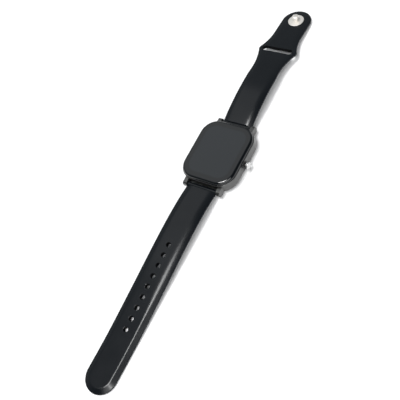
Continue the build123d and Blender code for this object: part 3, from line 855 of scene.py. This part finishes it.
# ---------------------------------------------------------------- stud
# The mushroom-shaped stud that the tail's holes button on: a broad disc, a thin neck and a domed
# head, turned in one piece and nickel-plated, held by a flat rivet cap on the wrist side.
stud = lathe("nickel_stud", [
    (0, 0.3 * mm), (1.2 * mm, 0.3 * mm), (1.2 * mm, 2.1 * mm), (DISC_R - 0.1 * mm, 2.1 * mm),
    (DISC_R, 2.2 * mm), (DISC_R, 2.58 * mm), (DISC_R - 0.05 * mm, 2.68 * mm),
    (DISC_R - 0.16 * mm, 2.74 * mm), (DISC_R - 0.3 * mm, 2.75 * mm), (1.9 * mm, 2.75 * mm),
    (1.5 * mm, 2.79 * mm), (1.25 * mm, 2.95 * mm), (1.15 * mm, 3.25 * mm), (1.15 * mm, 4.35 * mm),
    (1.25 * mm, 4.55 * mm), (1.5 * mm, 4.62 * mm), (1.85 * mm, 4.66 * mm), (2.05 * mm, 4.8 * mm),
    (2.15 * mm, 5.1 * mm), (2.15 * mm, 5.5 * mm), (2.08 * mm, 5.82 * mm), (1.9 * mm, 6.06 * mm),
    (1.6 * mm, 6.2 * mm), (1.15 * mm, 6.28 * mm), (0.6 * mm, 6.3 * mm), (0, 6.3 * mm)], 72)
stud.data.transform(end_frame)
settle(stud, 30)


def plated_nickel():
    """Bright plating, a little warm, with hairline polishing marks and duller handled patches."""
    plating = Finish("bright_nickel", {"Metallic": 1.0})
    handled = plating.cloud(2.5 * mm, 3)
    plating.give("Base Color", plating.mix(plating.step(handled, 0.4, 0.75), (0.93, 0.9, 0.855),
                                           (0.87, 0.84, 0.79)))
    plating.give("Roughness", 0.5 + 0.08 * handled)
    plating.relief(plating.cloud(0.5 * mm, 4, (1, 14, 1)), 0.002 * mm, 0.25)
    return plating.material


nickel = plated_nickel()
stud.data.materials.append(nickel)
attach(stud, "short_strap")
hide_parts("stud")

rivet = lathe("nickel_rivet_cap", [
    (0, 0.28 * mm), (1.2 * mm, 0.28 * mm), (1.2 * mm, 0.44 * mm), (RIVET_R - 0.05 * mm, 0.44 * mm),
    (RIVET_R, 0.38 * mm), (RIVET_R, 0.2 * mm), (RIVET_R - 0.06 * mm, 0.08 * mm),
    (RIVET_R - 0.25 * mm, 0.01 * mm), (RIVET_R - 0.5 * mm, 0), (0.9 * mm, 0), (0.7 * mm, 0.06 * mm),
    (0, 0.08 * mm)], 64)
rivet.data.transform(end_frame)
settle(rivet, 30)
rivet.data.materials.append(nickel)
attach(rivet, "short_strap")
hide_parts("stud_rivet")


# ---------------------------------------------------------------- back of the case
# A moulded black cover with a clear window over the pulse sensor, two gold-plated charging contacts
# and four small screws. The sensor's parts show through the window.
cover = smooth_copy("rear_cover", "moulded_back")
cover.data.materials.append(black_plastic)
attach(cover, "case")

window = smooth_copy("sensor_window", "sensor_lens")
smoked = Finish("smoked_window", {"Base Color": (0.32, 0.33, 0.34), "Transmission Weight": 1.0,
                                  "IOR": 1.49})
smoked.give("Roughness", 0.02 + 0.06 * smoked.step(smoked.cloud(3 * mm, 4), 0.5, 0.8))
window.data.materials.append(smoked.material)
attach(window, "case")

screws = smooth_copy("rear_screws", "back_screws")
screws.data.materials.append(steel)
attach(screws, "case")

gold = turned_metal("gold_plating", (0.95, 0.68, 0.28), 0.2)
contacts = smooth_copy("charging_pins", "charging_contacts")
soften(contacts, 0.06 * mm)
contacts.data.materials.append(gold)
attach(contacts, "case")


# ---------------------------------------------------------------- parts inside
# The electronics, battery, display, motor and spring bars keep their CAD shapes. Each gets the
# finish of its real material, since the opened watch shows them.
def dress(finish, *nodes):
    """Gives CAD nodes a finish."""
    for node in nodes:
        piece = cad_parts[node]
        for holder in piece.material_slots:
            holder.material = finish


def circuit_board():
    """Green solder mask over copper tracks, with rows of tinned pads."""
    board = Finish("green_circuit_board", {"IOR": 1.5})
    tracks = board.node("ShaderNodeTexBrick", {"offset": 0.5},
                        {"Vector": board.place(), "Scale": 420.0, "Mortar Size": 0.06,
                         "Color1": (0.01, 0.075, 0.03), "Color2": (0.012, 0.09, 0.038),
                         "Mortar": (0.03, 0.16, 0.06)})
    pads = board.node("ShaderNodeTexVoronoi", {"feature": "F1"},
                      {"Vector": board.place(), "Scale": 650.0, "Randomness": 0.35})
    pad = 1 - board.step(pads, 0.16, 0.2)
    region = board.step(board.cloud(5 * mm, 1), 0.5, 0.54)
    board.give("Base Color", board.mix(pad * region, tracks, (0.72, 0.71, 0.68)))
    board.give("Metallic", pad * region)
    board.give("Roughness", 0.32 - 0.08 * (pad * region))
    return board.material


def chip_package():
    """Black moulded epoxy with fine silica speckle."""
    epoxy = Finish("chip_epoxy", {"IOR": 1.55})
    speckle = epoxy.cloud(0.08 * mm, 1)
    epoxy.give("Base Color", epoxy.mix(speckle, (0.012, 0.012, 0.013), (0.04, 0.04, 0.042)))
    epoxy.give("Roughness", 0.45 + 0.15 * speckle)
    epoxy.relief(speckle, 0.006 * mm, 0.5)
    return epoxy.material


def pouch_foil():
    """Aluminium laminate, faintly wrinkled."""
    foil = Finish("battery_foil", {"Metallic": 1.0})
    crease = foil.cloud(3 * mm, 4, (1, 0.4, 1))
    foil.give("Base Color", foil.mix(crease, (0.5, 0.51, 0.53), (0.66, 0.67, 0.68)))
    foil.give("Roughness", 0.26 + 0.16 * crease)
    foil.relief(crease, 0.12 * mm, 0.5)
    return foil.material


def plain_layer(name, dark, light, roughness, size, depth):
    """A thin soft layer such as tape, rubber or film, with its own faint unevenness."""
    layer = Finish(name, {"IOR": 1.48})
    patch = layer.cloud(size, 3)
    layer.give("Base Color", layer.mix(patch, dark, light))
    layer.give("Roughness", roughness - 0.05 + 0.1 * patch)
    layer.relief(patch, depth, 0.5)
    return layer.material


board_green = circuit_board()
epoxy_black = chip_package()
seal_rubber = plain_layer("seal_rubber", (0.02, 0.02, 0.021), (0.03, 0.03, 0.032), 0.62, 0.4 * mm,
                          0.01 * mm)
black_tape = plain_layer("black_foam_tape", (0.018, 0.018, 0.018), (0.035, 0.035, 0.036), 0.85,
                         0.3 * mm, 0.02 * mm)
display_film = plain_layer("display_film", (0.008, 0.007, 0.014), (0.012, 0.011, 0.02), 0.12, 4 * mm,
                           0.001 * mm)
amber_film = plain_layer("amber_flex", (0.42, 0.16, 0.03), (0.55, 0.24, 0.05), 0.34, 0.5 * mm,
                         0.003 * mm)
clear_epoxy = plain_layer("emitter_epoxy", (0.62, 0.66, 0.34), (0.75, 0.78, 0.46), 0.18, 0.5 * mm,
                          0.002 * mm)
magnet_plating = blasted_metal("magnet_plating", (0.6, 0.59, 0.57), 0.3)

dress(board_green, "sensor_board", "main_board")
dress(epoxy_black, "sensor_photodiode", "processor_chip", "memory_chip", "switch_body")
dress(clear_epoxy, "sensor_leds")
dress(black_tape, "sensor_shield", "battery_pad", "glass_adhesive")
dress(pouch_foil(), "battery")
dress(display_film, "display_panel")
dress(amber_film, "display_flex")
dress(magnet_plating, "charging_magnets")
dress(seal_rubber, "rear_gasket", "crown_seal")
dress(black_plastic, "inner_bracket", "crown_pusher", "switch_plunger")
dress(brass, "motor_rotor", "crown_tube")
dress(steel, "shield_can", "display_tray", "motor_can", "motor_lid", "crown_clip")
for side in ("long", "short"):
    dress(steel, *(f"{side}_bar_{part}" for part in ("barrel", "left_pin", "right_pin", "spring")))
